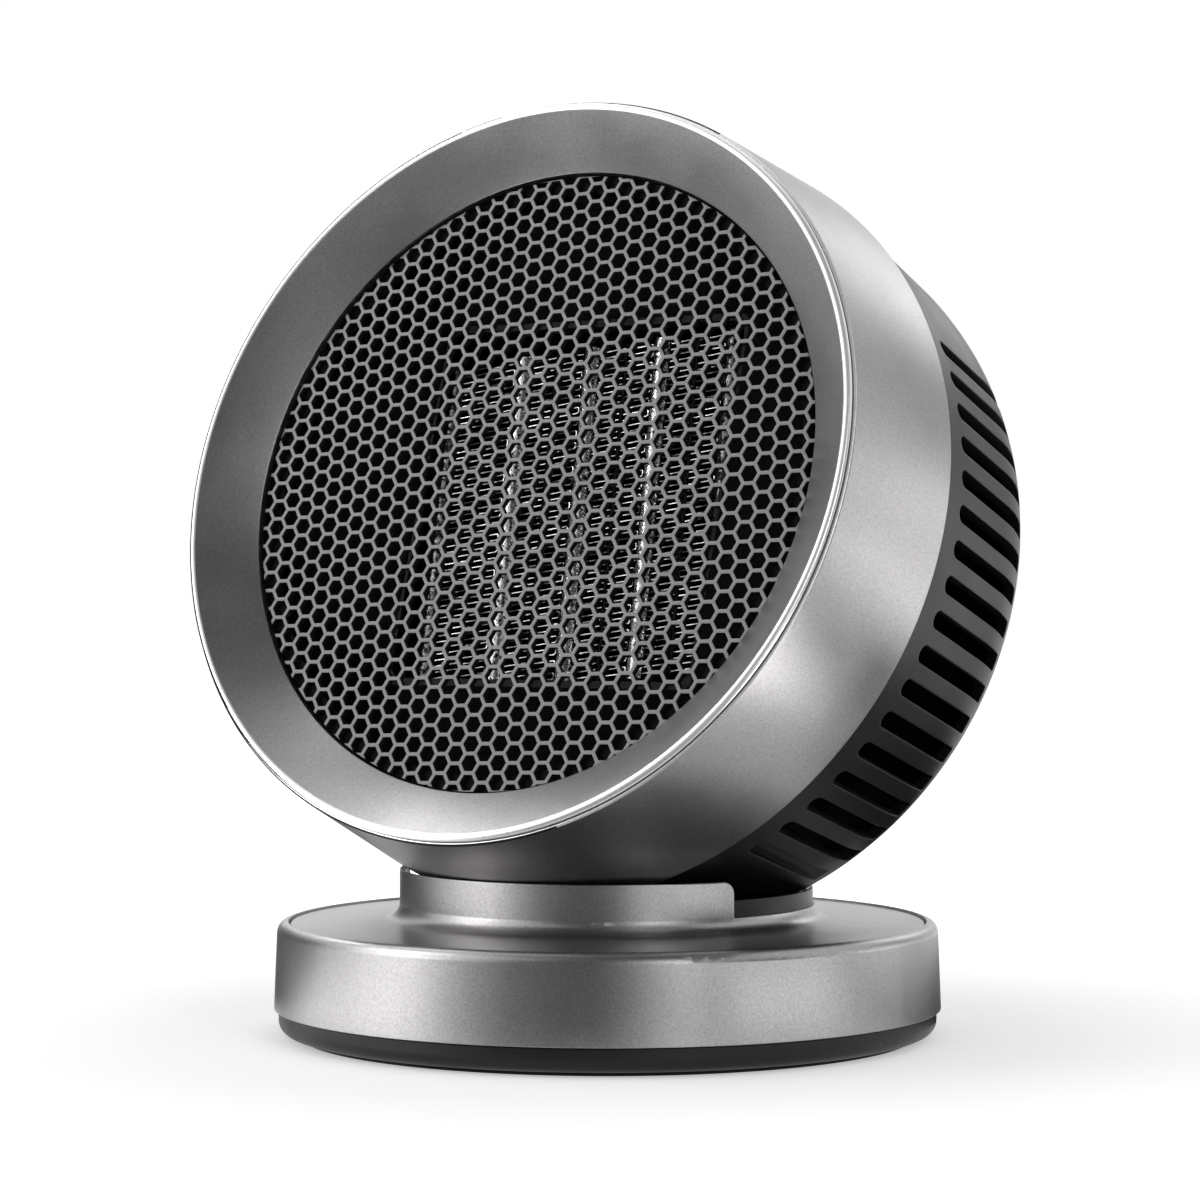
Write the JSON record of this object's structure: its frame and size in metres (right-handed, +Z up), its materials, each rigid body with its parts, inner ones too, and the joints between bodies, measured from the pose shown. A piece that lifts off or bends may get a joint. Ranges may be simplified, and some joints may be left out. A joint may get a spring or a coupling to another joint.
{
  "type": "fan heater",
  "caption": "Round-headed tabletop fan heater: honeycomb outlet in a silver ring, slotted dark rear dome, on a swivelling turntable and round base, with tilting head.",
  "frame": {"origin": "centre of the base on the floor, on the swivel axis", "axes": "+Z up along the swivel axis, -Y the way the air outlet faces (the head points 17.5 degrees above it at rest), X along the tilt axis"},
  "size_m": [0.2128, 0.1835, 0.2494],
  "materials": {
    "satin_silver": "metallic silver paint, satin, fine grain",
    "dark_shell": "moulded, matte, fine texture",
    "black_plastic": "moulded, matte",
    "grille_grey": "moulded, low sheen",
    "foot_rubber": "soft, matte",
    "zinc_steel": "zinc plated",
    "cast_ballast": "as cast",
    "element_aluminium": "extruded, bright",
    "heat_plastic": "glass-filled, heat resistant, matte",
    "gear_nylon": "natural nylon",
    "circuit_board": "lacquered board",
    "lamp_lens": "translucent amber red, polished"
  },
  "bodies": {
    "base": {"foot_ring": "foot_rubber", "base_tray": "black_plastic", "base_shell": "satin_silver", "hub_cover": "foot_rubber", "tray_screws": "zinc_steel", "ballast_ring": "cast_ballast", "cable_gland": "black_plastic", "terminal_block": "gear_nylon", "control_board": "circuit_board", "tip_switch": "black_plastic", "swivel_motor": "zinc_steel", "swivel_motor_screws": "zinc_steel", "thrust_washer": "gear_nylon"},
    "tip_pin": {"tip_plunger": "gear_nylon"},
    "pinion": {"swivel_pinion": "gear_nylon"},
    "turntable": {"swivel_gear": "gear_nylon", "turntable_cover": "satin_silver", "turntable_screws": "zinc_steel", "cradle_cup": "black_plastic", "hub_retainer": "zinc_steel", "retainer_screws": "zinc_steel", "tilt_yoke": "zinc_steel", "yoke_screws": "zinc_steel"},
    "head": {"front_bezel": "satin_silver", "head_band": "satin_silver", "honeycomb_grille": "grille_grey", "air_duct": "heat_plastic", "mid_plate": "zinc_steel", "plate_screws": "zinc_steel", "heater_frame": "heat_plastic", "heater_bar_1": "element_aluminium", "heater_bar_2": "element_aluminium", "heater_bar_3": "element_aluminium", "heater_bar_4": "element_aluminium", "heater_bar_5": "element_aluminium", "fin_pack_1": "element_aluminium", "fin_pack_2": "element_aluminium", "fin_pack_3": "element_aluminium", "fin_pack_4": "element_aluminium", "thermal_cutout": "zinc_steel", "fan_shroud": "heat_plastic", "fan_motor": "zinc_steel", "fan_motor_screws": "zinc_steel", "pivot_bracket_left": "zinc_steel", "pivot_bracket_right": "zinc_steel", "bracket_screws": "zinc_steel", "pivot_pins": "zinc_steel", "friction_washers": "gear_nylon", "pivot_nuts": "zinc_steel", "rear_dome": "dark_shell", "dome_screws": "zinc_steel", "mode_switch": "black_plastic", "thermostat": "black_plastic", "swing_switch": "black_plastic", "pilot_lamp": "lamp_lens"},
    "fan": {"fan_impeller": "black_plastic", "fan_shaft": "zinc_steel"},
    "mode_dial": {"mode_knob": "satin_silver"},
    "heat_dial": {"thermostat_knob": "satin_silver"},
    "swing_key": {"swing_button": "satin_silver"}
  },
  "joints": [
    {"name": "swivel", "type": "hinge", "parent": "base", "child": "turntable", "pos_m": [0, 0, 0.017], "axis": [0, 0, 1], "range_deg": [-35, 35]},
    {"name": "pinion_spin", "type": "hinge", "parent": "base", "child": "pinion", "pos_m": [-0.0661, 0, 0.0235], "axis": [0, 0, 1], "range_deg": [-222, 222]},
    {"name": "tilt", "type": "hinge", "parent": "turntable", "child": "head", "pos_m": [0, 0, 0.137], "axis": [-1, 0, 0], "range_deg": [0, 12]},
    {"name": "fan_spin", "type": "hinge", "parent": "head", "child": "fan", "pos_m": [0, 0, 0.137], "axis": [0, -0.9537, 0.3007], "continuous": true},
    {"name": "mode_turn", "type": "hinge", "parent": "head", "child": "mode_dial", "pos_m": [-0.026, 0.06743, 0.11574], "axis": [0, -0.9537, 0.3007], "range_deg": [0, 135]},
    {"name": "heat_turn", "type": "hinge", "parent": "head", "child": "heat_dial", "pos_m": [0.026, 0.06743, 0.11574], "axis": [0, -0.9537, 0.3007], "range_deg": [0, 270]},
    {"name": "swing_press", "type": "slide", "parent": "head", "child": "swing_key", "axis": [0, -0.9537, 0.3007], "range_m": [0, 0.0015], "stiffness_N_per_m": 400, "springref_m": -0.0008},
    {"name": "tip_slide", "type": "slide", "parent": "base", "child": "tip_pin", "axis": [0, 0, 1], "range_m": [-0.004, 0], "stiffness_N_per_m": 40, "springref_m": -0.005}
  ],
  "couplings": [
    {"joint": "pinion_spin", "follows": "swivel", "ratio": -6.3333}
  ]
}
